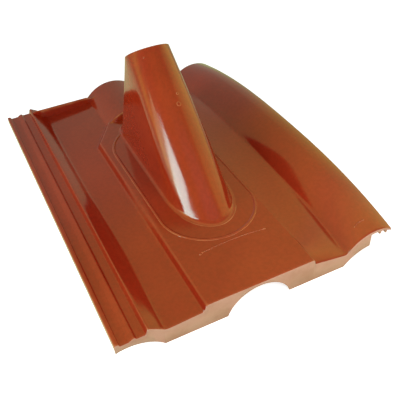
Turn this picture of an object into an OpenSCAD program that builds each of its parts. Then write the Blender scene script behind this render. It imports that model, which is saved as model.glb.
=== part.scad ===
/* [Tile] */
// overall length from front edge to back edge, mm
tile_l = 420; // [380:1:460]
// overall width from the left edge to the edge of the cover roll, mm
tile_w = 304; // [290:1:330]
// thickness of the moulded sheet, mm
wall = 3; // [2.4:0.1:4]

/* [Water lock] */
// height of the lower edge of the lock, mm
lock_base = 16.8; // [14:0.2:18]
// height of the underside of the lock channels, mm
lock_under = 19.3; // [18.2:0.1:20.4]
// top of the outermost rib, mm
rib1_top = 25; // [23.5:0.5:28]
// top of the middle rib, mm
rib2_top = 24.5; // [23.5:0.5:28]
// top of the inner rib, mm
rib3_top = 29.5; // [27:0.5:33]
// left face of the middle rib, from the left edge, mm
rib2_x = 13; // [11:0.5:16]
// left face of the inner rib, from the left edge, mm
rib3_x = 29; // [26:0.5:31]
// thickness of the two outer ribs, mm
rib_t = 4; // [3:0.5:5]
// sideways draft of the rib flanks, mm
rib_draft = 1; // [0.5:0.1:1.4]
// sideways run of the left flank of the inner rib, mm
rib3_run = 2.5; // [1.5:0.1:3]
// width of the crest of the inner rib, mm
rib3_crest = 2; // [1:0.1:3]
// how much higher the inner channel lies than the outer one, mm
chan_step = 0.7; // [0:0.1:1]

/* [Pans and plateau] */
// start of the first pan at the foot of the lock slope, mm
pan1_x = 50; // [46:1:54]
// height of the first pan at its start, mm
pan1_z = 18.6; // [16:0.1:20]
// rise of the first pan towards the plateau, degrees
pan1_rise = 3.4; // [0:0.2:6]
// left foot of the plateau step, mm
plateau_x0 = 85.2; // [80:0.5:95]
// right face of the plateau, mm
plateau_x1 = 207; // [200:0.5:212]
// sideways run of the sloped left step, mm
step_run = 4.5; // [2:0.5:8]
// height of the plateau, mm
plateau_z = 28.3; // [26:0.1:31]
// length of the cut back corners of the plateau, mm
corner_l = 38; // [30:1:60]
// height of the second pan beside the plateau at both ends, mm
pan2_z = 21.6; // [20:0.2:23]
// rise of the second pan beside the plateau at mid length, mm
pan2_bow = 5.5; // [0:0.5:6]
// height of the lip along the back edge above the first pan, mm
lip_rise = 6; // [3:0.5:9]
// depth of the back lip from front to back, mm
lip_run = 14; // [8:1:20]
// height of the front end of the back lip above the first pan, mm
lip_toe = 0.6; // [0.2:0.1:1.2]

/* [Short roll] */
// axis of the short back roll, from the left edge, mm
roll_x = 148.5; // [144:0.2:152]
// radius of the crown of the short back roll, mm
roll_r = 46; // [42:0.5:52]
// half width between the upright sides of the short roll, mm
roll_half = 35.5; // [32:0.5:38]
// height of the crest of the short back roll, mm
roll_top = 39.4; // [37:0.1:44]
// length of the short back roll, mm
roll_l = 87; // [75:1:95]

/* [Cover roll] */
// distance of the cover roll foot from the plateau, mm
cover_foot = 38.7; // [32:0.1:46]
// distance of the cover roll axis from its foot, mm
cover_x = 34.5; // [28:0.1:40]
// distance of the outer edge from the cover roll axis, mm
cover_edge = 19.5; // [15:0.1:25]
// height of the cover roll foot at both ends, mm
cover_foot_z = 15.5; // [14:0.1:18]
// height of the cover roll crest at both ends, mm
cover_top = 33.6; // [31:0.1:38]
// rise of the cover roll crest at mid length, mm
cover_bow = 16.6; // [0:0.1:18]
// rise of the cover roll foot at mid length, mm
foot_bow = 11.6; // [0:0.1:14]
// sideways bow of the cover roll at mid length, mm
side_bow = 4.3; // [0:0.1:6]
// how much lower the cover roll lies at its back end, mm
back_drop = 1.8; // [0:0.1:3]
// depth of the two sealing ribs under the cover roll, mm
seal_h = 3.5; // [2:0.5:5]
// thickness of each sealing rib, mm
seal_t = 2.2; // [1.6:0.1:3]

/* [Hood] */
// centre line of the hood, from the left edge, mm
hood_x = 151.8; // [146:0.2:156]
// front end of the hood base, from the front edge, mm
nose_y = 92.2; // [84:0.2:98]
// length of the oval front of the hood base, mm
nose_l = 58.5; // [45:0.5:65]
// half width of the hood base, mm
hood_r = 33.9; // [31:0.1:36]
// radius of the round back of the hood base, mm
hood_back_r = 31.5; // [27:0.1:33]
// clear distance from the hood to the short roll, mm
hood_gap = 9; // [6:0.5:20]
// height of the fullest part of the hood, mm
belly_z = 85; // [70:1:100]
// radius of the fullest part of the hood, mm
belly_r = 29.8; // [28:0.1:32]
// distance of the fullest part behind the straight front of the hood, mm
belly_set = 4; // [1:0.5:8]
// radius of the hood mouth outside, mm
mouth_r = 25.5; // [22:0.1:28]
// distance of the mouth centre in front of the round back, mm
mouth_set = 31.5; // [24:0.1:48]
// height of the mouth centre, mm
mouth_z = 151; // [130:0.5:170]
// backward slant of the mouth, degrees
mouth_tilt = 35; // [25:1:45]
// radius of the straight bore behind the mouth, mm
bore_r = 21.8; // [20:0.1:22]
// length of the straight bore behind the mouth, mm
bore_l = 6; // [4:1:10]

/* [Relief] */
// width of the sloped foot around the hood base, mm
flange_w = 4.4; // [2:0.2:5]
// height of the sloped foot around the hood base, mm
flange_h = 3.6; // [2:0.2:6]
// height of the bead, mm
relief_h = 0.8; // [0.4:0.1:1.4]
// outer radius of the bead around the hood, mm
bead_r = 53.3; // [48:0.1:54]
// width of the bead, mm
bead_w = 1.6; // [1:0.2:3]
// centre of the front arc of the bead, mm
bead_y = 124.6; // [118:0.2:130]
// distance of the back arc centre of the bead in front of the hood back, mm
bead_set = 34.9; // [32:0.1:50]
// distance of the lap line from the front edge, mm
lap_y = 62; // [50:1:66]
// length of the lap line, mm
lap_l = 72; // [50:1:90]
// width of the lap line, mm
lap_w = 1; // [0.6:0.1:2]
// height of the lap line, mm
lap_h = 0.4; // [0.2:0.1:0.8]

/* [Front skirt] */
// thickness of the skirt, mm
skirt_t = 3; // [2.4:0.1:4]
// centre of the middle arch, from the left edge, mm
arch_x = 145.2; // [140:0.2:150]
// distance between the arches of the skirt, mm
arch_pitch = 133.2; // [128:0.2:138]
// half width of each arch, mm
arch_half = 34.3; // [30:0.1:38]
// height of the middle arch, mm
arch_h = 24.6; // [20:0.2:24.8]
// height of the left and right arches, mm
side_arch_h = 16; // [12:0.5:16.5]
// distance of the right end of the skirt from the cover roll axis, mm
skirt_end = 6; // [4:0.5:10]

/* [Batten lugs] */
// width of each hanging lug, mm
lug_w = 22; // [16:1:30]
// thickness of each hanging lug, mm
lug_t = 6; // [4:0.5:8]
// distance of the lug faces from the back edge, mm
lug_back = 32; // [24:1:45]
// centre of the left lug, from the left edge, mm
lug_left = 68; // [62:1:78]
// distance of the centre of the right lug from the plateau, mm
lug_right = 19; // [13:1:25]

/* [Hidden] */
$fn = 96;
chan1_floor = lock_under + wall;
chan2_floor = chan1_floor + chan_step;
rib3_hollow = rib3_x + rib3_run + rib3_crest + wall / 2;
pan1_slope = tan(pan1_rise);
function pan1_at(x) = pan1_z + (x - pan1_x) * pan1_slope;
roll_z = roll_top - roll_r;
roll_y = tile_l - roll_l;
pan1_end = roll_x - roll_half + wall / 2;
step_top = plateau_x0 + step_run;
step_z0 = pan1_at(plateau_x0);
step_slope = (plateau_z - step_z0) / step_run;
corner_y = roll_y - corner_l;

// hood places and how far its walls spread below the mouth, per mm along the mouth axis
hood_y = nose_y + nose_l;
back_y = roll_y - hood_gap - hood_back_r;
mouth_y = back_y - mouth_set;
lip_y = mouth_y - mouth_r * cos(mouth_tilt);
lip_z = mouth_z + mouth_r * sin(mouth_tilt);
front_lean = atan2(lip_y - nose_y, lip_z - plateau_z);
back_lean = atan2(back_y + hood_back_r - mouth_y - mouth_r * cos(mouth_tilt),
    mouth_z - mouth_r * sin(mouth_tilt) - plateau_z);
front_run = tan(front_lean - mouth_tilt);
back_run = tan(back_lean + mouth_tilt);
belly_y = nose_y + (belly_z - plateau_z) * tan(front_lean) + belly_set + belly_r;

// the second pan and the cover roll fill the width that is left beside the plateau
wing_fit = (tile_w - side_bow - plateau_x1) / (cover_foot + cover_x + cover_edge);
pan2_w = cover_foot * wing_fit;
foot_d = cover_x * wing_fit;
edge_d = cover_edge * wing_fit;
foot_x = plateau_x1 + pan2_w;
axis_x = foot_x + foot_d;

// sections through the cover wing:
// [x, height at the ends, rise at mid length, sideways bow, depth to the underside, sharpness]
wing_x0 = roll_x + roll_half - wall / 2;
half_l = tile_l / 2;
cover_h = cover_top - cover_foot_z;
cover_r = (foot_d * foot_d + cover_h * cover_h) / (2 * cover_h);
cover_z = cover_top - cover_r;
foot_a = -asin(foot_d / cover_r);
pan2_fall = (pan2_z - cover_foot_z) / pan2_w;
arch_power = 2.5;
pan_power = 7;
function arch(y, power) = 1 - pow(abs(y - half_l) / half_l, power);
function mix(a, b, t) = a + (b - a) * t;
function wing_pan() = [for (t = [0, 0.5, 1]) let (x = mix(wing_x0, plateau_x1, t))
    [x, pan2_z + (plateau_x1 - x) * pan2_fall, pan2_bow * t, 0, wall, pan_power]];
function wing_flat() = [for (t = [0.25, 0.5, 0.75]) let (x = mix(plateau_x1, foot_x, t))
    [x, mix(pan2_z, cover_foot_z, t), mix(pan2_bow, foot_bow, t * t), side_bow * t, wall,
     mix(pan_power, arch_power, t)]];
function cover_at(x, depth) = let (a = asin((x - axis_x) / cover_r), t = min(1, (a - foot_a) / -foot_a))
    [x, cover_z + cover_r * cos(a), mix(foot_bow, cover_bow, t), side_bow, depth, arch_power];
seal_x = [axis_x + 0.2 * edge_d, axis_x + 0.58 * edge_d];
seal_draft = 0.2;
wing_n = 14;
function wing_rise() = [for (i = [0 : wing_n])
    cover_at(axis_x + cover_r * sin(mix(foot_a, 0, i / wing_n)), wall)];
function seal_rib(x) = [cover_at(x, wall), cover_at(x + seal_draft, wall + seal_h),
    cover_at(x + seal_t - seal_draft, wall + seal_h), cover_at(x + seal_t, wall)];
wing_top = concat(wing_pan(), wing_flat(), wing_rise(), seal_rib(seal_x[0]),
    [cover_at(mix(seal_x[0] + seal_t, seal_x[1], 0.5), wall)], seal_rib(seal_x[1]),
    [for (t = [0.4, 0.75, 1]) cover_at(mix(seal_x[1] + seal_t, axis_x + edge_d, t), wall)]);
wing_m = len(wing_top);
stations = 16;
function drop(y) = back_drop * pow(max(0, y / half_l - 1), 2);
function wing_point(p, y, depth) = [p[0] + p[3] * arch(y, arch_power), y,
    p[1] + p[2] * arch(y, p[5]) - drop(y) * p[3] / max(side_bow, 0.1) - depth];
function wing_row(y) = concat([for (p = wing_top) wing_point(p, y, 0)],
    [for (i = [wing_m - 1 : -1 : 0]) wing_point(wing_top[i], y, wing_top[i][4])]);

// lock ribs and first pan, one section along the whole length
module lock_and_pan() {
    translate([0, tile_l, 0]) rotate([90, 0, 0]) linear_extrude(tile_l) polygon([
        [0, lock_base], [0, rib1_top], [rib_t, rib1_top], [rib_t + rib_draft, chan1_floor],
        [rib2_x - rib_draft, chan1_floor], [rib2_x, rib2_top], [rib2_x + rib_t, rib2_top],
        [rib2_x + rib_t + rib_draft, chan2_floor], [rib3_x, chan2_floor], [rib3_x + rib3_run, rib3_top],
        [rib3_x + rib3_run + rib3_crest, rib3_top], [pan1_x, pan1_z], [pan1_end, pan1_at(pan1_end)],
        [pan1_end, pan1_at(pan1_end) - wall], [pan1_x - rib_draft, pan1_z - wall],
        [rib3_hollow, chan1_floor + 1], [rib3_x + rib_draft, lock_under], [wall, lock_under],
        [wall, lock_base]]);
}

// lip that closes the back of the first pan
module back_lip() {
    x0 = rib3_x + rib_t;
    translate([x0, 0, pan1_at(x0)]) rotate([0, -pan1_rise, 0]) rotate([90, 0, 90])
        linear_extrude((pan1_end - x0) / cos(pan1_rise))
            polygon([[tile_l - 1.3 * lip_run, -wall / 2], [tile_l - lip_run, lip_toe],
                [tile_l, lip_rise], [tile_l, -wall / 2]]);
}

// raised plateau under the hood, inset for its hollow side
module plateau_form(inset) {
    hollow = inset > 0;
    front = hollow ? -1 : 0;
    sunk = hollow ? plateau_z : wall - 1;
    left = plateau_x0 + inset - sunk / step_slope;
    bottom = step_z0 - sunk;
    difference() {
        translate([0, roll_y - inset, 0]) rotate([90, 0, 0])
            linear_extrude(roll_y - inset - front) polygon([
                [left, bottom], [step_top + inset - inset / step_slope, plateau_z - inset],
                [plateau_x1 - inset, plateau_z - inset], [plateau_x1 - inset, bottom]]);
        for (s = [-1, 1]) plateau_corner(s, inset);
    }
}

// block that cuts a back corner of the plateau
module plateau_corner(s, inset) {
    x = s < 0 ? step_top : plateau_x1;
    foot = roll_x + s * (roll_half - 1);
    a = atan2(corner_l, abs(foot - x));
    far = 2 * (corner_l + roll_half);
    translate([x, corner_y, -wall]) rotate([0, 0, s < 0 ? a : 180 - a])
        translate([-far / 2, s < 0 ? -inset : inset - far, 0]) cube([2 * far, far, plateau_z + 2 * wall]);
}

// short roll at the back with a rounded crown and upright sides
module roll_form(inset) {
    hollow = inset > 0;
    run = roll_l - inset + (hollow ? 1 : 0);
    foot = hollow ? -1 : pan1_z;
    intersection() {
        translate([roll_x, roll_y + inset + run, roll_z]) rotate([90, 0, 0])
            cylinder(r = roll_r - inset, h = run);
        translate([roll_x - roll_half + inset, roll_y + inset - 1, foot])
            cube([2 * (roll_half - inset), run + 2, roll_top - foot + 1]);
    }
}

// oval disc under the front of the hood
module hood_oval(grow) {
    translate([hood_x, hood_y, 0]) scale([hood_r + grow, nose_l + grow, 1]) cylinder(r = 1, h = 1);
}

// round disc under the back of the hood
module hood_back(grow) {
    translate([hood_x, back_y, 0]) cylinder(r = hood_back_r + grow, h = 1);
}

// leaning tower between the base outline and the slanted mouth
module hood_form(inset) {
    base = plateau_z - (inset > 0 ? wall + 1 : 1);
    depth = inset > 0 ? bore_l : 0;
    hull() {
        translate([0, 0, base]) hood_oval(-inset);
        translate([0, 0, base]) hood_back(-inset);
        translate([hood_x, belly_y, belly_z]) cylinder(r = belly_r - inset, h = 1);
        for (run = [-front_run, back_run - 0.7 * inset / bore_l])
            translate([hood_x, mouth_y, mouth_z]) rotate([-mouth_tilt, 0, 0])
                translate([0, depth * run, -depth - 1]) cylinder(r = mouth_r - inset, h = 1);
    }
}

// sloped foot that leads the hood walls into the plateau
module hood_foot() {
    translate([0, 0, plateau_z - 1]) hull() {
        hood_oval(flange_w);
        hood_back(flange_w);
        translate([0, flange_h * tan(front_lean), flange_h]) hood_oval(-wall / 2);
        translate([0, -flange_h * tan(back_lean), flange_h]) hood_back(-wall / 2);
    }
}

// straight bore behind the mouth
module mouth_bore() {
    translate([hood_x, mouth_y, mouth_z]) rotate([-mouth_tilt, 0, 0])
        translate([0, 0, -bore_l - 1]) cylinder(r = bore_r, h = bore_l + 3);
}

// lugs that hang on the batten, their tops inside the sheet of the pans
function wing_z(x, y) = let (t = (x - plateau_x1) / pan2_w)
    mix(pan2_z, cover_foot_z, t) + mix(pan2_bow, foot_bow, t * t) * arch(y, mix(pan_power, arch_power, t))
    - drop(y) * t;
function pan_z(x, y) = x < roll_x ? pan1_at(x) : wing_z(x, y);
module lugs() {
    y = tile_l - lug_back;
    for (x = [lug_left, plateau_x1 + lug_right * wing_fit]) let (x0 = x - lug_w / 2, x1 = x + lug_w / 2)
        translate([0, y + lug_t, 0]) rotate([90, 0, 0]) linear_extrude(lug_t) polygon([[x0, 0], [x1, 0],
            [x1, pan_z(x1, y + lug_t) - wall / 2], [x0, pan_z(x0, y + lug_t) - wall / 2]]);
}

// plan of a round-ended outline along the hood centre line
module long_round(y0, y1, r) {
    for (y = [y0, y1]) translate([hood_x, y]) circle(r = r);
    translate([hood_x - r, y0]) square([2 * r, y1 - y0]);
}

// bead around the hood and lap line near the front
module relief() {
    bead_back = back_y - bead_set;
    translate([0, 0, plateau_z - 1]) linear_extrude(relief_h + 1) difference() {
        long_round(bead_y, bead_back, bead_r);
        long_round(bead_y, bead_back, bead_r - bead_w);
    }
    translate([hood_x + 1 - lap_l / 2, lap_y - lap_w / 2, plateau_z - 1]) cube([lap_l, lap_w, lap_h + 1]);
}

// second pan and cover roll, bowed along the length
module wing() {
    rows = [for (j = [0 : stations]) wing_row(half_l * (1 - cos(180 * j / stations)))];
    n = 2 * wing_m;
    last = stations * n;
    polyhedron(points = [for (r = rows) each r], faces = concat(
        [for (i = [0 : wing_m - 2]) [i, i + 1, n - 2 - i]],
        [for (i = [0 : wing_m - 2]) [i, n - 2 - i, n - 1 - i]],
        [for (i = [0 : wing_m - 2]) [last + n - 2 - i, last + i + 1, last + i]],
        [for (i = [0 : wing_m - 2]) [last + n - 1 - i, last + n - 2 - i, last + i]],
        [for (j = [0 : stations - 1], i = [0 : n - 1])
            [j * n + i, (j + 1) * n + i, (j + 1) * n + (i + 1) % n]],
        [for (j = [0 : stations - 1], i = [0 : n - 1])
            [j * n + i, (j + 1) * n + (i + 1) % n, j * n + (i + 1) % n]]));
}

// front skirt, cut to sit over the rolls of the course below
module arch_cut(x, h) {
    r = (arch_half * arch_half + h * h) / (2 * h);
    translate([x, h - r]) circle(r = r);
}
module skirt() {
    inside = wall / 2;
    end_x = axis_x - skirt_end;
    translate([0, skirt_t, 0]) rotate([90, 0, 0]) linear_extrude(skirt_t) difference() {
        polygon(concat(
            [[0, lock_under + 1], [rib3_x, lock_under + 1], [rib3_hollow, chan1_floor + 2],
             [pan1_x, pan1_z - inside], [plateau_x0, step_z0 - inside], [step_top, plateau_z - inside],
             [plateau_x1 - inside, plateau_z - inside], [plateau_x1 - inside, pan2_z - inside]],
            [for (p = wing_flat()) [p[0], p[1] - inside]],
            [for (p = wing_rise()) if (p[0] < end_x) [p[0], p[1] - inside]],
            [[end_x, 0], [0, 0]]));
        arch_cut(arch_x - arch_pitch, side_arch_h);
        arch_cut(arch_x, arch_h);
        arch_cut(arch_x + arch_pitch, side_arch_h);
    }
}

module vent_tile() {
    color([0.55, 0.22, 0.13]) translate([-tile_w / 2, -tile_l / 2, 0]) {
        difference() {
            union() {
                lock_and_pan();
                back_lip();
                wing();
                plateau_form(0);
                roll_form(0);
                hood_form(0);
                hood_foot();
                relief();
            }
            plateau_form(wall);
            roll_form(wall);
            hood_form(wall);
            mouth_bore();
        }
        skirt();
        lugs();
    }
}

vent_tile();
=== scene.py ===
import math

import bpy
import numpy as np
from mathutils import Euler, Matrix, Quaternion, Vector


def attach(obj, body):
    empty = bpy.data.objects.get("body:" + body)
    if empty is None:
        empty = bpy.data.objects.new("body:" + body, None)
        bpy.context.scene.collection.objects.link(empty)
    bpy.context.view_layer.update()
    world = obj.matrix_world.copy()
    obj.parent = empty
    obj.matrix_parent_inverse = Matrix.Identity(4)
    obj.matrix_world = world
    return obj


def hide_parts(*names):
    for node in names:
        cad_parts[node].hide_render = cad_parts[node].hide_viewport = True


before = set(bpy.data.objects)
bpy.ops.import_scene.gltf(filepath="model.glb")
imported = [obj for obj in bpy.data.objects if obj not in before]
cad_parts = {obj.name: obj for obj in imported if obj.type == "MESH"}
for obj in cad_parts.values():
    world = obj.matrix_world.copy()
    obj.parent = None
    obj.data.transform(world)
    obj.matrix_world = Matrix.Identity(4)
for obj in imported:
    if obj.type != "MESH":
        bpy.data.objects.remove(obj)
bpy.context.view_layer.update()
MM = 0.001

# tile, in mm: x from the left edge, y from the front edge, z from the foot of the skirt
TILE_L, TILE_W, WALL, EDGE = 420.0, 304.0, 3.0, 0.9
HALF_L = TILE_L / 2

# water lock and first pan
LOCK_BASE, LOCK_UNDER, LOCK_END = 16.8, 19.3, 60.0
PAN1_X, PAN1_Z, PAN1_SLOPE, PAN1_END = 50.0, 18.6, math.tan(math.radians(3.4)), 140.0

# steep bar across the first pan, near the back edge
BAR_X, BAR_Y, BAR_T, BAR_TOP, BAR_STEEP = 33.0, 404.6, 2.8, 31.0, 24.0
BAR_FALL_X, BAR_FALL, BAR_SOFT, BAR_FOOT_SOFT = 108.0, 0.35, 0.9, 0.7

# plateau, whose left step is softer around mid-length
PLAT_X0, PLAT_X1, PLAT_Z, PLAT_LAP = 85.2, 207.0, 28.3, 2.0
STEP_RUN, STEP_WIDE, STEP_WIDE_Y, STEP_WIDE_L = 4.5, 1.0, 160.0, 48.0
STEP_SOFT, STEP_FOOT_SOFT, STEP_SWELL_SOFT = 1.1, 1.6, 0.3
SIDE_STEEP, SIDE_SET, SIDE_SOFT, SIDE_FOOT_SOFT = 5.0, 0.6, 0.9, 0.8
CORNER_L, CORNER_STEEP, LAP_SOFT = 38.0, 2.2, 0.6

# short roll at the back
ROLL_X, ROLL_R, ROLL_HALF, ROLL_TOP, ROLL_Y = 148.5, 46.0, 35.5, 39.4, 333.0
ROLL_STEEP, ROLL_SOFT, ROLL_FOOT_SOFT = 7.0, 1.6, 1.4

# second pan and cover roll, both bowed along the tile, with sealing ribs under the roll
PAN2_X, PAN2_Z, PAN2_BOW, PAN2_FRONT, PAN2_BACK = 182.5, 21.6, 6.6, 12.0, 7.0
COVER_X, COVER_FOOT, FOOT_Z, COVER_TOP = 280.2, 245.7, 15.5, 33.6
COVER_BOW, FOOT_BOW, SIDE_BOW, BOW_POWER, BACK_DROP = 16.6, 11.6, 4.3, 2.5, 1.8
COVER_REACH, COVER_DIP, COVER_STEEP, COVER_SOFT = 0.985, -0.3, 3.0, 1.6
SEALS, SEAL_H, SEAL_T, SEAL_SIDE = (0.2, 0.58), 3.5, 2.2, 0.2

# circle of the cover roll's section, and the right edge before the tile bows sideways
COVER_H = COVER_TOP - FOOT_Z
COVER_R = ((COVER_X - COVER_FOOT) ** 2 + COVER_H ** 2) / (2 * COVER_H)
COVER_ZC = COVER_TOP - COVER_R
FOOT_A = math.asin((COVER_X - COVER_FOOT) / COVER_R)
EDGE_D = TILE_W - SIDE_BOW - COVER_X
RIGHT = COVER_X + EDGE_D

# parts of the sheet along x, and a height that lies below all of them
LEFT_END, RIGHT_START, MID_X0, MID_X1, FAR_BELOW = 118.0, 180.0, 60.0, 230.0, 8.0

# hood: oval base, belly, slanted mouth with its bore
HOOD_X, NOSE_Y, NOSE_L, HOOD_R, BACK_Y, BACK_R = 151.8, 92.2, 58.5, 33.9, 292.5, 31.5
HOOD_Y = NOSE_Y + NOSE_L
BELLY_Y, BELLY_Z, BELLY_R, BELLY_MOST, BELLY_SOFT = 186.6, 85.0, 29.8, 6.0, 1.0
MOUTH_Y, MOUTH_Z, MOUTH_R, MOUTH_TILT = 261.0, 151.0, 25.5, math.radians(35.0)
BORE_R, BORE_L, BORE_ROUND, RIM_ROUND, INNER_SET = 21.8, 6.0, 0.9, 1.0, 0.5
FLARE, FLARE_SUNK, HOLE_INSET, SUNK, TUCK = 4.8, 0.02, 0.4, 0.05, 1.0
OUTER_RINGS, INNER_RINGS = np.linspace(0.035, 1, 26), np.linspace(0.98, 0, 14)

# bead around the hood, line in front of it, mark on the cover roll
BEAD_X, BEAD_R, BEAD_Y0, BEAD_Y1 = 151.2, 53.2, 123.9, 257.6
BEAD = [(-2.0, -0.4), (-1.85, 0.0), (-1.3, 0.45), (-0.6, 0.75), (0, 0.85),
        (0.6, 0.75), (1.3, 0.45), (1.85, 0.0), (2.0, -0.4)]
LAP_Y, LAP_SAG, LAP_X0, LAP_X1, LAP_SCALE = 64.2, 2.4, 115.8, 187.4, (0.3, 0.45)
LAP_DOT, LAP_DOT_R, LAP_DOT_H = (112.6, 60.2), 1.05, 0.7
MARK_X, MARK_Y, MARK_L, MARK_RISE, MARK_BOW, MARK_SCALE = 264.0, 15.4, 12.8, 1.7, 1.2, (0.25, 0.4)
BEAD_STEPS, STRAIGHT_STEPS, LAP_STEPS, MARK_STEPS = 49, 20, 33, 13

# round pips: place, direction, radius, height
PIPS = (((158.9, 198.8, 126.0), (0.26, -0.66, 0.71), 1.5, 0.45),
        ((138.4, 236.2, 156.9), (-0.51, -0.58, 0.63), 1.0, 0.4),
        ((155.9, 190.0, 118.7), (0.14, -0.67, 0.73), 2.5, 0.3),
        ((86.0, 53.7, 20.8), (-0.06, 0, 1), 1.0, 0.7))
PIP_RINGS = ((1.0, -0.6), (1.0, 0.0), (0.93, 0.45), (0.75, 0.78), (0.45, 0.95), (0.12, 1.0))

# front skirt with its arches (middle, height), and batten lugs
SKIRT_T, SKIRT_END, SKIRT_ROUND, SKIRT_GAP = 3.0, 274.2, 0.5, 0.08
ARCHES, ARCH_HALF = ((12.0, 16.0), (145.2, 24.6), (278.4, 16.0)), 34.3
LUGS, LUG_W, LUG_T, LUG_Y, LUG_CORNER = (68.0, 226.0), 22.0, 6.0, 388.0, 1.0
LUG_ROUND, LUG_TAPER = 0.8, (0.93, 0.75)

# least thickness of the sheet and height of the skirt, and the skirt's rest where it has ended
LEAST, SLIVER = 0.5, 0.02

# grid of the sheet: spans (start, end, step), single lines where it bends sharply, and
# distances from an outer edge that have lines for its rounding
SPANS_X = ((5.2, 12, 1.7), (18.2, 29, 2.2), (34, 46, 3), (34, 53, 1.2), (52, 78, 3.5), (78, 93, 0.9),
           (93, 117, 1.3), (117, 179, 3.1), (179.5, 203, 1.3), (203, 210, 0.7), (210, 240, 3),
           (240, 254, 1.3), (254, 274, 2), (276, RIGHT - EDGE, 1.1))
SHARP_X = (WALL, WALL + 0.1, 30, 35, 46.3, 47, 49, 110.9, 111.3, 112, 113, 177.4, 178.4, 179.1, 179.5,
           244.1, 244.5, SKIRT_END - SKIRT_GAP, SKIRT_END + SKIRT_GAP)
SPANS_Y = ((SKIRT_T, 84, 5), (84, 290, 3), (290, 338, 1.2), (338, 400, 4.5), (400, 403.6, 1.2),
           (403.6, 408.4, 0.4), (408.4, TILE_L - EDGE, 1.6))
ROUND_LINES, LINE_GAP, LOCK_LINES_END = (0, 0.12, 0.35, EDGE), 0.05, 52
SHARP_ANGLE = math.radians(50)


def smax(a, b, k):
    """Larger of two heights, with a rounded change."""
    return 0.5 * (a + b + np.sqrt((a - b) ** 2 + k * k))


def smin(a, b, k):
    """Smaller of two heights, with a rounded change."""
    return 0.5 * (a + b - np.sqrt((a - b) ** 2 + k * k))


def bend(start, corner, end, shares):
    """Points or rings along a curve from start to end that is pulled toward corner."""
    return [(1 - u) ** 2 * start + 2 * u * (1 - u) * corner + u * u * end for u in shares]


def rounded(points, radii, steps=4, most=0.45):
    """Polyline whose inner corners are short curves, each over most of a side at the most."""
    out = [points[0]]
    for a, b, c, r in zip(points, points[1:], points[2:], radii):
        a, b, c = np.array(a), np.array(b), np.array(c)
        before, after = np.linalg.norm(a - b), np.linalg.norm(c - b)
        reach = min(r, most * before, most * after)
        start, end = b + (a - b) / before * reach, b + (c - b) / after * reach
        out += bend(start, b, end, np.linspace(0, 1, steps + 1))
    out.append(points[-1])
    return np.array(out)


def pan1(x):
    """Height of the first pan."""
    return PAN1_Z + (x - PAN1_X) * PAN1_SLOPE


# section of the lock ribs from the left edge to the first pan, above and below
LOCK_TOP = rounded(
    [(0, 25), (4, 25), (5, 22.3), (12.8, 22.4), (17.8, 25.2), (19.2, 25), (20.6, 23), (29.2, 23.2),
     (30.5, 27.8), (31.6, 29.5), (33.4, 28.8), (41.5, 23.9), (48.4, 19.0), (54, pan1(54)),
     (PAN1_END, pan1(PAN1_END))],
    [1.0, 0.8, 0.8, 1.0, 1.2, 1.2, 1.0, 1.0, 1.0, 1.6, 2.6, 2.4, 3.0])
LOCK_LOW = np.array(
    [(0, LOCK_BASE), (WALL, LOCK_BASE), (WALL + 0.1, LOCK_UNDER), (30, LOCK_UNDER), (35, 23.3),
     (PAN1_X - 1, PAN1_Z - WALL), (PAN1_END, pan1(PAN1_END) - WALL)])


def arch(y, power):
    """Bow along the tile: 1 at mid-length, 0 at both ends."""
    return 1 - np.abs((y - HALF_L) / HALF_L) ** power


def drop(y):
    """Fall of the right side toward the back end."""
    return BACK_DROP * np.maximum(0, y / HALF_L - 1) ** 2


def across_pan2(x):
    """0 at the plateau, 1 at the foot of the cover roll."""
    return np.clip((x - PLAT_X1) / (COVER_FOOT - PLAT_X1), 0, 1)


def wing(x, y):
    """Second pan and cover roll: height over the nominal x."""
    t = across_pan2(x)
    left = np.clip((x - PAN2_X) / (PLAT_X1 - PAN2_X), 0, 1)
    fall = (PAN2_Z - FOOT_Z) / (COVER_FOOT - PLAT_X1)
    rise = np.where(x < PLAT_X1, PAN2_BOW * left * left, PAN2_BOW + (FOOT_BOW - PAN2_BOW) * t * t)
    power = np.where(y < HALF_L, PAN2_FRONT, PAN2_BACK)
    pan = PAN2_Z - (x - PLAT_X1) * fall + rise * arch(y, power + (BOW_POWER - power) * t) - drop(y) * t
    dx = np.clip((x - COVER_X) / COVER_R, -COVER_REACH, 1)
    s = np.clip((np.arcsin(dx) + FOOT_A) / FOOT_A, COVER_DIP, 1)
    bow = FOOT_BOW + (COVER_BOW - FOOT_BOW) * s
    roll = COVER_ZC + COVER_R * np.sqrt(1 - dx * dx) + bow * arch(y, BOW_POWER) - drop(y)
    roll_x = COVER_X - COVER_REACH * COVER_R
    roll = np.where(x < roll_x, roll - COVER_STEEP * (roll_x - x), roll)
    return smax(pan, roll, COVER_SOFT)


def step_swell(y):
    """1 in the middle of the left step's soft stretch, 0 far from it."""
    return np.exp(-((y - STEP_WIDE_Y) / STEP_WIDE_L) ** 2)


def plateau(x, y):
    """Raised sheet around the hood, with its corners cut toward the short roll."""
    step_top = PLAT_X0 + STEP_RUN
    slope = (PLAT_Z - pan1(PLAT_X0)) / (STEP_RUN + STEP_WIDE * step_swell(y))
    z = smin(np.full_like(x, PLAT_Z), PLAT_Z + (x - step_top) * slope, STEP_SOFT)
    z = smin(z, PLAT_Z - (x - PLAT_X1 + SIDE_SET) * SIDE_STEEP, SIDE_SOFT)
    for side, x0 in ((-1, step_top), (1, PLAT_X1)):
        foot = ROLL_X + side * (ROLL_HALF - 1)
        n = np.array((CORNER_L, side * (x0 - foot)))
        n = n / np.linalg.norm(n)
        past = (x - x0) * side * n[0] + (y - (ROLL_Y - CORNER_L)) * n[1]
        z = smin(z, PLAT_Z - past * CORNER_STEEP, STEP_SOFT)
    return smin(z, PLAT_Z - (y - ROLL_Y - PLAT_LAP) * SIDE_STEEP, LAP_SOFT)


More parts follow.
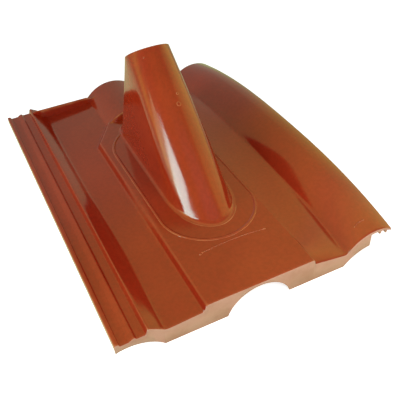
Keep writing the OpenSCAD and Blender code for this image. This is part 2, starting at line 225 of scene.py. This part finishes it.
def short_roll(x, y):
    """Roll from the back edge to the plateau, with a steep front."""
    dx = np.abs(x - ROLL_X)
    inner = np.minimum(dx, ROLL_HALF)
    beside = np.maximum(dx - ROLL_HALF, 0) * SIDE_STEEP
    crown = ROLL_TOP - ROLL_R + np.sqrt(ROLL_R ** 2 - inner ** 2) - beside
    return smin(crown, ROLL_TOP + (y - ROLL_Y) * ROLL_STEEP, ROLL_SOFT)


def back_bar(x, y):
    """Steep bar across the first pan, near its back edge."""
    high = BAR_TOP - BAR_FALL * np.maximum(x - BAR_FALL_X, 0)
    z = smin(high, pan1(x) + (y - BAR_Y) * BAR_STEEP, BAR_SOFT)
    return smin(z, pan1(x) + (BAR_Y + BAR_T - y) * BAR_STEEP, BAR_SOFT)


def top(x, y, bar=True):
    """Height of the upper face over the nominal x."""
    left = np.interp(x, LOCK_TOP[:, 0], LOCK_TOP[:, 1])
    if bar:
        left = np.where(x > BAR_X, smax(left, back_bar(x, y), BAR_FOOT_SOFT), left)
    base = np.where(x < LEFT_END, left, np.where(x > RIGHT_START, wing(x, y), FAR_BELOW))
    soft = STEP_FOOT_SOFT + STEP_SWELL_SOFT * STEP_WIDE * step_swell(y)
    z = smax(base, plateau(x, y), np.where(x < HOOD_X, soft, SIDE_FOOT_SOFT))
    z = smax(z, short_roll(x, y), ROLL_FOOT_SOFT)
    return np.where((x > MID_X0) & (x < MID_X1), z, base)


def under(x, y):
    """Height of the lower face over the nominal x."""
    z = top(x, y, bar=False) - WALL
    z = np.where(x < LOCK_END, np.interp(x, LOCK_LOW[:, 0], LOCK_LOW[:, 1]), z)
    for at in SEALS:
        from_mid = np.abs(x - COVER_X - at * EDGE_D - SEAL_T / 2)
        z = z - SEAL_H * np.clip((SEAL_T / 2 - from_mid) / SEAL_SIDE, 0, 1)
    return z


def skirt_low(x):
    """Lower edge of the front skirt."""
    z = np.zeros_like(x)
    for middle, h in ARCHES:
        r = (ARCH_HALF ** 2 + h ** 2) / (2 * h)
        dx = np.clip(np.abs(x - middle), 0, r)
        z = np.maximum(z, h - r + np.sqrt(r * r - dx * dx))
    return z


class Shell:
    """Collects the vertices and faces of the moulded shell, in mm from the tile corner."""

    def __init__(self):
        self.points = []
        self.loops = []
        self.count = 0

    def add(self, points):
        """New vertices; gives the number of the first."""
        points = np.asarray(points, float).reshape(-1, 3)
        self.points.append(points)
        self.count += len(points)
        return self.count - len(points)

    def faces(self, loops):
        """New faces, each a run of vertex numbers."""
        self.loops += [tuple(int(i) for i in loop) for loop in loops]

    def loft(self, rings, close=False):
        """Rings of equal length joined in order: capped, or with close the last joined to the first."""
        rings = np.asarray(rings)
        m, n = rings.shape[:2]
        first = self.add(rings)
        for a in range(m if close else m - 1):
            ring, after = first + a * n, first + (a + 1) % m * n
            for j in range(n):
                k = (j + 1) % n
                self.loops.append((ring + j, ring + k, after + k, after + j))
        if not close:
            last = first + (m - 1) * n
            self.faces([range(first + n - 1, first - 1, -1), range(last, last + n)])


shell = Shell()


def hood_outline(n=132, spread=0.3, fine=1441):
    """Outline of the hood base: points, angles of their outward directions, angles at the mouth."""
    a = np.linspace(-math.pi / 2, 1.5 * math.pi, fine)
    x, y = np.cos(a), np.sin(a)
    grow = np.sqrt((HOOD_R * x) ** 2 + (NOSE_L * y) ** 2)
    oval = np.stack([HOOD_X + HOOD_R ** 2 * x / grow, HOOD_Y + NOSE_L ** 2 * y / grow], 1)
    disc = np.stack([HOOD_X + BACK_R * x, BACK_Y + BACK_R * y], 1)
    p = np.where((HOOD_Y * y + grow > BACK_Y * y + BACK_R)[:, None], oval, disc)
    s = np.concatenate([[0], np.cumsum(np.linalg.norm(np.diff(p, axis=0), axis=1))])
    s = s / s[-1]
    turn = (a - a[0]) / (2 * math.pi)
    m = 0.5 * s + 0.5 * turn
    u = np.linspace(0, 1, n, endpoint=False)
    points = np.stack([np.interp(u, m, p[:, 0]), np.interp(u, m, p[:, 1])], 1)
    outward = np.interp(u, m, a)
    share = np.interp(u, m, (1 - spread) * turn + spread * s)
    return points, outward, a[0] + 2 * math.pi * share


OUT_P, OUT_A, MOUTH_A = hood_outline()
OUT_N = np.stack([np.cos(OUT_A), np.sin(OUT_A)], 1)


def base_ring(offset, z):
    """Outline of the hood base, moved outward, at a height."""
    p = OUT_P + OUT_N * offset
    return np.column_stack([p, np.full(len(p), z)])


def mouth_ring(r, depth):
    """Circle in the slanted mouth plane, depth below it along the mouth axis."""
    c, s = math.cos(MOUTH_TILT), math.sin(MOUTH_TILT)
    x = r * np.cos(MOUTH_A)
    y = r * np.sin(MOUTH_A)
    return np.column_stack([HOOD_X + x, MOUTH_Y + y * c - depth * s, MOUTH_Z - y * s - depth * c])


def belly_ring(inset):
    """Level circle at half height, which the wall bulges toward."""
    r = BELLY_R - inset
    z = np.full(len(MOUTH_A), BELLY_Z)
    return np.column_stack([HOOD_X + r * np.cos(MOUTH_A), BELLY_Y + r * np.sin(MOUTH_A), z])


def wall_rings(inset, z0, depth, shares):
    """Hood wall from the base outline over the belly to the mouth."""
    b, m = base_ring(-inset, z0), mouth_ring(MOUTH_R - inset, depth)
    tb = (BELLY_Z - z0) / (m[:, 2] - z0)
    line = b + (m - b) * tb[:, None]
    push = ((belly_ring(inset) - line)[:, :2] * OUT_N).sum(1)
    push = np.clip(smax(push, 0, BELLY_SOFT) - BELLY_SOFT / 4, 0, BELLY_MOST)
    out = []
    for t in shares:
        bump = np.where(t < tb, 1 - ((tb - t) / tb) ** 2, 1 - ((t - tb) / (1 - tb)) ** 2)
        p = b + (m - b) * t
        p[:, :2] += OUT_N * (push * bump)[:, None]
        out.append(p)
    return out


def build_hood():
    """Outer wall with its flared foot, rounded rim, bore and inner wall, as one closed loft."""
    wall = wall_rings(0, PLAT_Z, 0, [0.0, *OUTER_RINGS])
    corner, foot, rim = wall[0], wall[1], wall[-1]
    foot = corner + (foot - corner) / np.linalg.norm(foot - corner, axis=1)[:, None] * FLARE
    rings = bend(base_ring(FLARE, PLAT_Z - FLARE_SUNK), corner, foot, np.linspace(0, 1, 7))
    rings += wall[2:-1]
    rim_dir = rim - wall[-2]
    rim_dir /= np.linalg.norm(rim_dir, axis=1)[:, None]
    rings += bend(rim - rim_dir * RIM_ROUND, rim, mouth_ring(MOUTH_R - RIM_ROUND, 0), (0, 0.35, 0.7, 1))
    rings += bend(mouth_ring(BORE_R + BORE_ROUND, 0), mouth_ring(BORE_R, 0), mouth_ring(BORE_R, BORE_ROUND),
                  (0, 0.4, 0.75, 1))
    rings.append(mouth_ring(BORE_R, BORE_L))
    low = PLAT_Z - WALL - SUNK
    rings += wall_rings(WALL, low, BORE_L + INNER_SET, INNER_RINGS)
    rings += [base_ring(TUCK, low), base_ring(2 * TUCK, PLAT_Z - TUCK)]
    shell.loft(rings, close=True)


def grid_lines(spans, singles):
    """Sorted grid lines from spans and single values, without near doubles."""
    out = list(singles)
    for start, end, step in spans:
        out += list(np.linspace(start, end, max(1, int(round((end - start) / step))) + 1))
    out = np.array(sorted(out))
    return out[np.concatenate([[True], np.diff(out) > LINE_GAP])]


def sheet_lines():
    """Grid lines of the sheet along x and y, close together where it bends."""
    lock = [x for x in LOCK_TOP[:, 0] if x < LOCK_LINES_END]
    xs = grid_lines(SPANS_X, [*ROUND_LINES, *lock, *SHARP_X, *(RIGHT - d for d in ROUND_LINES)])
    ys = grid_lines(SPANS_Y, [*ROUND_LINES, *(TILE_L - d for d in ROUND_LINES)])
    return xs, ys


def hood_hole(gx, gy):
    """Grid cells that lie wholly inside the hood's base."""
    nx, ny = gx.shape
    hole = np.ones((nx - 1, ny - 1), bool)
    for i, j in ((0, 0), (0, 1), (1, 0), (1, 1)):
        px, py = gx[i:nx - 1 + i, j:ny - 1 + j], gy[i:nx - 1 + i, j:ny - 1 + j]
        for p, n in zip(OUT_P, OUT_N):
            hole &= (px - p[0]) * n[0] + (py - p[1]) * n[1] < -HOLE_INSET
    return hole


def hole_walls(upper, lower, hole, i, j):
    """Walls between one cell of the hole and the sheet beside it."""
    sides = ((-1, 0, (i, j), (i, j + 1)), (1, 0, (i + 1, j + 1), (i + 1, j)),
             (0, -1, (i + 1, j), (i, j)), (0, 1, (i, j + 1), (i + 1, j + 1)))
    for di, dj, a, b in sides:
        if not hole[i + di, j + dj]:
            shell.faces([(upper[b], upper[a], lower[a], lower[b])])


def build_skirt(xs, behind, first, last):
    """Skirt from the front row of the upper face down, and up to the lower face behind it."""
    low = skirt_low(xs)
    has = (xs < SKIRT_END) & (low < behind - LEAST)
    low = np.where(has, low, behind - SLIVER)
    e = np.where(has, SKIRT_ROUND, SLIVER / 2)
    strip = [first]
    for y, z in ((0.0, low + e), (SKIRT_ROUND, low), (SKIRT_T - SKIRT_ROUND, low), (SKIRT_T, low + e)):
        row = shell.add(np.column_stack([xs, np.full(len(xs), y), z]))
        strip.append(row + np.arange(len(xs)))
    strip.append(last)
    for a, b in zip(strip, strip[1:]):
        shell.faces(zip(a[:-1], b[:-1], b[1:], a[1:]))
    return strip


def build_sheet():
    """Upper and lower face as grids over x and y, with the hood's hole, the skirt and the end faces."""
    xs, ys = sheet_lines()
    nx, ny = len(xs), len(ys)
    gx, gy = np.meshgrid(xs, ys, indexing="ij")
    shift = SIDE_BOW * across_pan2(gx) * arch(gy, BOW_POWER)
    z_up = top(gx, gy)
    for d in (gx, gx[-1, 0] - gx, gy, TILE_L - gy):
        e = np.clip(EDGE - d, 0, EDGE)
        z_up = z_up - (EDGE - np.sqrt(np.maximum(EDGE ** 2 - e ** 2, 0)))
    z_low = np.minimum(under(gx, gy), z_up - LEAST)
    numbers = np.arange(nx * ny).reshape(nx, ny)
    upper = shell.add(np.stack([gx + shift, gy, z_up], -1)) + numbers
    lower = shell.add(np.stack([gx + shift, gy, z_low], -1)) + numbers
    j_skirt = int(np.argmin(np.abs(ys - SKIRT_T)))
    hole = hood_hole(gx, gy)
    for i in range(nx - 1):
        for j in range(ny - 1):
            if hole[i, j]:
                hole_walls(upper, lower, hole, i, j)
                continue
            shell.faces([(upper[i, j], upper[i + 1, j], upper[i + 1, j + 1], upper[i, j + 1])])
            if j >= j_skirt:
                shell.faces([(lower[i, j], lower[i, j + 1], lower[i + 1, j + 1], lower[i + 1, j])])
    strip = build_skirt(xs, z_low[:, j_skirt], upper[:, 0], lower[:, j_skirt])
    shell.faces(zip(upper[:-1, -1], upper[1:, -1], lower[1:, -1], lower[:-1, -1]))
    for i, flip in ((0, True), (nx - 1, False)):
        ring = [upper[i, j] for j in range(j_skirt, -1, -1)] + [row[i] for row in strip[1:]]
        ends = [(upper[i, j + 1], upper[i, j], lower[i, j], lower[i, j + 1]) for j in range(j_skirt, ny - 1)]
        shell.faces([loop[::-1] if flip else loop for loop in [ring] + ends])


def sweep(path, heights, profile, close=False):
    """Small profile (across, up) carried along a path whose heights are given."""
    path = np.asarray(path, float)
    d = np.roll(path, -1, 0) - np.roll(path, 1, 0)
    if not close:
        d[0], d[-1] = path[1] - path[0], path[-1] - path[-2]
    d /= np.linalg.norm(d, axis=1)[:, None]
    side = np.stack([d[:, 1], -d[:, 0]], 1)
    heights = np.broadcast_to(heights, len(path))
    rings = np.array([np.column_stack([path + side * a, heights + z]) for a, z in profile])
    shell.loft(rings.transpose(1, 0, 2), close)


def slim_bead(scale):
    """Bead profile made narrower and lower."""
    return [(scale[0] * a, scale[1] * z) for a, z in BEAD]


def pip(spot, normal, r, height, sides=14):
    """Low round pimple that stands on a face."""
    spot, n = np.array(spot, float), np.array(normal, float)
    n /= np.linalg.norm(n)
    u = np.cross(n, (0, 1, 0) if abs(n[1]) < 0.9 else (1, 0, 0))
    u /= np.linalg.norm(u)
    w = np.cross(n, u)
    a = np.linspace(0, 2 * math.pi, sides, endpoint=False)
    circle = np.cos(a)[:, None] * u + np.sin(a)[:, None] * w
    shell.loft([spot + circle * r * k + n * height * h for k, h in PIP_RINGS])


def build_bead():
    """Bead around the hood: two half circles and the straight runs between them."""
    a = np.linspace(0, math.pi, BEAD_STEPS)
    back = np.column_stack([BEAD_X + BEAD_R * np.cos(a), BEAD_Y1 + BEAD_R * np.sin(a)])
    front = np.column_stack([BEAD_X - BEAD_R * np.cos(a), BEAD_Y0 - BEAD_R * np.sin(a)])
    straight = np.linspace(0, 1, STRAIGHT_STEPS)[1:-1, None]
    left = back[-1] + (front[0] - back[-1]) * straight
    right = front[-1] + (back[0] - front[-1]) * straight
    sweep(np.concatenate([back, left, front, right]), PLAT_Z, BEAD, close=True)


def build_marks():
    """Line with dots in front of the hood, pips, and the mark on the cover roll."""
    u = np.linspace(-1, 1, LAP_STEPS)
    lap_x = 0.5 * (LAP_X0 + LAP_X1) + 0.5 * (LAP_X1 - LAP_X0) * u
    lap = np.column_stack([lap_x, LAP_Y - LAP_SAG * u * u])
    sweep(lap, PLAT_Z, slim_bead(LAP_SCALE))
    for spot in (lap[0], lap[-1], LAP_DOT):
        pip((*spot, PLAT_Z), (0, 0, 1), LAP_DOT_R, LAP_DOT_H)
    for spot, normal, r, height in PIPS:
        pip(spot, normal, r, height)
    u = np.linspace(0, 1, MARK_STEPS)
    mark_y = MARK_Y + MARK_RISE * u + MARK_BOW * (1 - (2 * u - 1) ** 2)
    mark = np.column_stack([MARK_X + MARK_L * u, mark_y])
    sweep(mark, top(mark[:, 0], mark[:, 1]), slim_bead(MARK_SCALE))


def build_lugs():
    """Batten lugs under the back of the tile, with rounded corners and a tapered foot."""
    corners = [(-LUG_W / 2, 0), (LUG_W / 2, 0), (LUG_W / 2, LUG_T), (-LUG_W / 2, LUG_T)]
    for x in LUGS:
        plan = []
        for k, (cx, cy) in enumerate(corners):
            inward = (1 if cx < 0 else -1), (1 if cy == 0 else -1)
            for q in np.linspace(0, 1, 5):
                a = math.pi * (1 + 0.5 * k) + q * math.pi / 2
                plan.append((x + cx + LUG_CORNER * (inward[0] + math.cos(a)),
                             LUG_Y + cy + LUG_CORNER * (inward[1] + math.sin(a))))
        plan = np.array(plan)
        mid = plan.mean(0)
        foot = mid + (plan - mid) * np.array(LUG_TAPER)
        shell.loft([np.column_stack([foot, np.zeros(len(plan))]),
                    np.column_stack([plan, np.full(len(plan), LUG_ROUND)]),
                    np.column_stack([plan, under(plan[:, 0], plan[:, 1]) + WALL / 2])])


build_sheet()
build_hood()
build_bead()
build_marks()
build_lugs()

verts = (np.concatenate(shell.points) - np.array((TILE_W / 2, TILE_L / 2, 0))) * MM
mesh = bpy.data.meshes.new("tile_shell")
mesh.from_pydata(verts.tolist(), [], shell.loops)
mesh.validate()
tile = bpy.data.objects.new("tile_shell", mesh)
bpy.context.scene.collection.objects.link(tile)
mesh.polygons.foreach_set("use_smooth", np.ones(len(mesh.polygons), bool))
mesh.set_sharp_from_angle(angle=SHARP_ANGLE)
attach(tile, "root")
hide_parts("vent_tile")

# camera at the photograph's angle: place in m, turn in degrees, lens in mm
CAM_PLACE, CAM_TURN = (-0.205459, -0.515240, 0.437523), (49.7882, 2.1505, -26.5905)
CAM_LENS, CAM_SENSOR = 52.205, 36.0
cam_data = bpy.data.cameras.new("camera")
cam_data.sensor_width = CAM_SENSOR
cam_data.lens = CAM_LENS
cam = bpy.data.objects.new("camera", cam_data)
cam.matrix_world = Matrix.LocRotScale(Vector(CAM_PLACE), Euler([math.radians(a) for a in CAM_TURN]), None)
bpy.context.scene.collection.objects.link(cam)
bpy.context.scene.camera = cam


def node(tree, kind, **inputs):
    """New node with some of its sockets set, by name."""
    n = tree.nodes.new("ShaderNode" + kind)
    for name, value in inputs.items():
        n.inputs[name].default_value = value
    return n


def ramp(tree, source, stops):
    """Eased colour ramp over a value, from (position, colour or grey) stops."""
    n = tree.nodes.new("ShaderNodeValToRGB")
    n.color_ramp.interpolation = "EASE"
    marks = n.color_ramp.elements
    for k, (position, colour) in enumerate(stops):
        e = marks[k] if k < 2 else marks.new(position)
        e.position = position
        e.color = (*colour, 1) if isinstance(colour, tuple) else (colour, colour, colour, 1)
    tree.links.new(source, n.inputs[0])
    return n.outputs[0]


def math_node(tree, operation, *values):
    """Math node over numbers and sockets."""
    n = tree.nodes.new("ShaderNodeMath")
    n.operation = operation
    for k, v in enumerate(values):
        if isinstance(v, (int, float)):
            n.inputs[k].default_value = v
        else:
            tree.links.new(v, n.inputs[k])
    return n.outputs[0]


def mix_colour(tree, factor, a, b, mode="MIX"):
    """Mix of two colours, each a socket or a tuple."""
    n = tree.nodes.new("ShaderNodeMix")
    n.data_type = "RGBA"
    n.blend_type = mode
    for k, v in ((0, factor), (6, a), (7, b)):
        if hasattr(v, "is_linked"):
            tree.links.new(v, n.inputs[k])
        else:
            n.inputs[k].default_value = (*v, 1) if isinstance(v, tuple) else v
    return n.outputs[2]


def noise(tree, place, scale, detail=3.0, rough=0.5):
    """Noise value over a place."""
    n = node(tree, "TexNoise", Scale=scale, Detail=detail, Roughness=rough)
    tree.links.new(place, n.inputs["Vector"])
    return n.outputs[0]


def split(tree, vector):
    """The X, Y and Z of a vector, as sockets."""
    n = tree.nodes.new("ShaderNodeSeparateXYZ")
    tree.links.new(vector, n.inputs[0])
    return n.outputs


# cloudy red tones, a lighter edge colour for wear and painted highlight, and two pale tones of painted light
# for the front faces with the place of that mask
DEEP_RED, BRICK, WORN_AND_HIGHLIGHT = (0.285, 0.0155, 0.0045), (0.33, 0.024, 0.0065), (0.58, 0.19, 0.075)
PAINTED_FRONT_LIGHT, PAINTED_FRONT_LIGHT_DIM = (0.49, 0.26, 0.20), (0.41, 0.19, 0.135)
FRONT_FACE_DEPTH, FRONT_FACE_FACING, FRONT_FACE_ROUGH = 0.0012, -0.55, 0.28


def plastic(name):
    """Glossy moulded plastic: cloudy red, convex edges lighter as wear and painted highlight, front faces
    paler as painted light.
    """
    mat = bpy.data.materials.new(name)
    mat.use_nodes = True
    t = mat.node_tree
    bsdf = t.nodes["Principled BSDF"]
    place = t.nodes.new("ShaderNodeTexCoord").outputs["Object"]
    cloud = ramp(t, noise(t, place, scale=9.0, detail=4.0, rough=0.55), [(0.32, DEEP_RED), (0.68, BRICK)])
    grain = ramp(t, noise(t, place, scale=260.0, detail=2.0), [(0.3, 0.92), (0.7, 1.06)])
    colour = mix_colour(t, 1.0, cloud, grain, "MULTIPLY")

    # lighter convex edges: partly wear, partly a painted highlight that the rounded edges catch
    point = t.nodes.new("ShaderNodeNewGeometry").outputs["Pointiness"]
    edge_wear_and_highlight = ramp(t, point, [(0.515, 0.0), (0.57, 1.0)])
    patch = ramp(t, noise(t, place, scale=40.0), [(0.35, 0.4), (0.65, 0.9)])
    colour = mix_colour(t, math_node(t, "MULTIPLY", edge_wear_and_highlight, patch), colour, WORN_AND_HIGHLIGHT)

    # front faces at the front edge: painted light and reflection from the bright floor in front, in two pale
    # tones, and rougher there
    facing = split(t, t.nodes.new("ShaderNodeTexCoord").outputs["Normal"])
    ahead = math_node(t, "LESS_THAN", facing["Y"], FRONT_FACE_FACING)
    at_front = math_node(t, "LESS_THAN", split(t, place)["Y"], -HALF_L * MM + FRONT_FACE_DEPTH)
    painted_front_light_mask = math_node(t, "MULTIPLY", ahead, at_front)
    painted_front_light_tone = ramp(t, noise(t, place, scale=30.0, detail=5.0, rough=0.6), [(0.3, PAINTED_FRONT_LIGHT_DIM), (0.62, PAINTED_FRONT_LIGHT)])
    t.links.new(mix_colour(t, painted_front_light_mask, colour, painted_front_light_tone), bsdf.inputs["Base Color"])

    smear = ramp(t, noise(t, place, scale=22.0, detail=5.0, rough=0.6), [(0.3, 0.10), (0.7, 0.17)])
    rough = math_node(t, "ADD", smear, math_node(t, "MULTIPLY", painted_front_light_mask, FRONT_FACE_ROUGH))
    t.links.new(rough, bsdf.inputs["Roughness"])
    bsdf.inputs["IOR"].default_value = 1.5
    wave = node(t, "Bump", Strength=0.06, Distance=0.004)
    t.links.new(noise(t, place, scale=14.0, detail=1.0), wave.inputs["Height"])
    peel = node(t, "Bump", Strength=0.015, Distance=0.0004)
    t.links.new(noise(t, place, scale=420.0, detail=1.0), peel.inputs["Height"])
    t.links.new(wave.outputs[0], peel.inputs["Normal"])
    t.links.new(peel.outputs[0], bsdf.inputs["Normal"])
    return mat


mesh.materials.append(plastic("gloss_shell"))

FLOOR_SEEN, FLOOR_TINT, FLOOR_SHEEN = (0.85, 0.85, 0.85), (0.82, 0.78, 0.60), (0.7, 1.0, 0.3)
FLOOR_HALF, FLOOR_GLOW, FLOOR_GLOSS_GLOW = 4.0, 0.8, 0.4


def floor_material(name):
    """White floor for the camera, beige in the light it throws back, tinted where the gloss shows it."""
    mat = bpy.data.materials.new(name)
    mat.use_nodes = True
    t = mat.node_tree
    bsdf = t.nodes["Principled BSDF"]
    bsdf.inputs["Roughness"].default_value = 0.9
    bsdf.inputs["Specular IOR Level"].default_value = 0.0
    ray = t.nodes.new("ShaderNodeLightPath").outputs
    in_view, in_gloss = ray["Is Camera Ray"], ray["Is Glossy Ray"]
    t.links.new(mix_colour(t, in_view, FLOOR_TINT, FLOOR_SEEN), bsdf.inputs["Base Color"])
    t.links.new(mix_colour(t, in_gloss, (1.0, 1.0, 1.0), FLOOR_SHEEN), bsdf.inputs["Emission Color"])
    glow = math_node(t, "ADD", math_node(t, "MULTIPLY", in_view, FLOOR_GLOW),
                     math_node(t, "MULTIPLY", in_gloss, FLOOR_GLOSS_GLOW))
    t.links.new(glow, bsdf.inputs["Emission Strength"])
    return mat


floor_corners = [(x * FLOOR_HALF, y * FLOOR_HALF, 0) for x, y in ((-1, -1), (1, -1), (1, 1), (-1, 1))]
floor_mesh = bpy.data.meshes.new("floor")
floor_mesh.from_pydata(floor_corners, [], [(0, 1, 2, 3)])
floor = bpy.data.objects.new("floor", floor_mesh)
bpy.context.scene.collection.objects.link(floor)
floor_mesh.materials.append(floor_material("floor"))


def area(name, loc, target, size, radiance, turn=0.0, colour=(1, 1, 1)):
    """Lamp of a given brightness, facing a target, unseen by the camera."""
    data = bpy.data.lights.new(name, "AREA")
    data.energy = radiance * math.pi * size[0] * size[1]
    data.color = colour
    data.shape = "RECTANGLE"
    data.size, data.size_y = size
    lamp = bpy.data.objects.new(name, data)
    lamp.location = loc
    facing = (Vector(loc) - Vector(target)).to_track_quat("Z", "Y")
    lamp.rotation_euler = (facing @ Quaternion((0, 0, 1), math.radians(turn))).to_euler()
    lamp.visible_camera = False
    bpy.context.scene.collection.objects.link(lamp)
    return lamp


# the window makes the streak on the hood, the softbox fills without showing in the gloss
area("window", loc=(-0.70, -0.165, 0.28), target=(0, -0.165, 0.28), size=(0.165, 0.66), radiance=13.0,
     turn=-25.5, colour=(0.64, 1.0, 0.96))
area("window_side", loc=(-0.71, 0.0, 0.24), target=(0, 0.0, 0.24), size=(0.16, 0.6), radiance=2.4,
     turn=-25.5, colour=(0.9, 1.0, 0.55))
area("front_window", loc=(0.33, -0.80, 0.26), target=(0, -0.15, 0.03), size=(0.25, 0.25), radiance=8.0,
     colour=(1, 0.9, 0.6))
softbox = area("softbox", loc=(0.0, -0.46, 0.38), target=(0.0, -0.13, 0.02), size=(0.5, 0.5), radiance=1.75)
softbox.visible_glossy = False

# room that the gloss shows: light over the y of a direction, and a glow on one side
ROOM = [(-1.0, (0.7, 0.66, 0.50)), (-0.7, (0.75, 0.70, 0.36)), (-0.45, (0.9, 0.8, 0.20)),
        (-0.2, (0.75, 0.65, 0.22)), (0.0, (0.9, 0.8, 0.28)), (0.15, (1.6, 1.45, 0.40)),
        (0.27, (2.1, 1.9, 0.50)), (0.36, (1.7, 1.55, 0.48)), (0.45, (1.2, 1.12, 0.40)),
        (0.57, (1.15, 1.05, 0.28)), (0.68, (0.9, 0.8, 0.24)), (0.8, (0.68, 0.62, 0.40)),
        (0.92, (0.6, 0.56, 0.44))]
ROOM_LEVEL, FILL_LEVEL = 2.2, 0.32
SIDE_GLOW, SIDE_AT, SIDE_SPREAD = (0.45, 0.42, 0.09), (0.908, -0.33, 0.26), (0.82, 0.97)


def studio_world(name):
    """Plain fill for the light, white for the camera, and a warm room in the gloss."""
    world = bpy.data.worlds.new(name)
    world.use_nodes = True
    t = world.node_tree
    fill = t.nodes["Background"]
    fill.inputs["Color"].default_value = (1, 1, 1, 1)
    fill.inputs["Strength"].default_value = FILL_LEVEL
    sight = t.nodes.new("ShaderNodeTexCoord").outputs["Generated"]
    along = math_node(t, "MULTIPLY_ADD", split(t, sight)["Y"], 0.5, 0.5)
    room = ramp(t, along, [(0.5 + 0.5 * y, tuple(c / ROOM_LEVEL for c in colour)) for y, colour in ROOM])
    toward = t.nodes.new("ShaderNodeVectorMath")
    toward.operation = "DOT_PRODUCT"
    toward.inputs[1].default_value = SIDE_AT
    t.links.new(sight, toward.inputs[0])
    side = ramp(t, toward.outputs["Value"], [(SIDE_SPREAD[0], 0.0), (SIDE_SPREAD[1], 1.0)])
    studio = node(t, "Background", Strength=ROOM_LEVEL)
    t.links.new(mix_colour(t, side, room, SIDE_GLOW, "ADD"), studio.inputs["Color"])
    white = node(t, "Background", Color=(1, 1, 1, 1), Strength=1.0)
    ray = t.nodes.new("ShaderNodeLightPath").outputs
    gloss = math_node(t, "MAXIMUM", ray["Is Glossy Ray"], ray["Is Transmission Ray"])
    shown = fill.outputs[0]
    for test, shader in ((gloss, studio), (ray["Is Camera Ray"], white)):
        either = t.nodes.new("ShaderNodeMixShader")
        t.links.new(test, either.inputs[0])
        t.links.new(shown, either.inputs[1])
        t.links.new(shader.outputs[0], either.inputs[2])
        shown = either.outputs[0]
    t.links.new(shown, t.nodes["World Output"].inputs["Surface"])
    return world


bpy.context.scene.world = studio_world("world")
bpy.context.scene.view_settings.view_transform = "Standard"
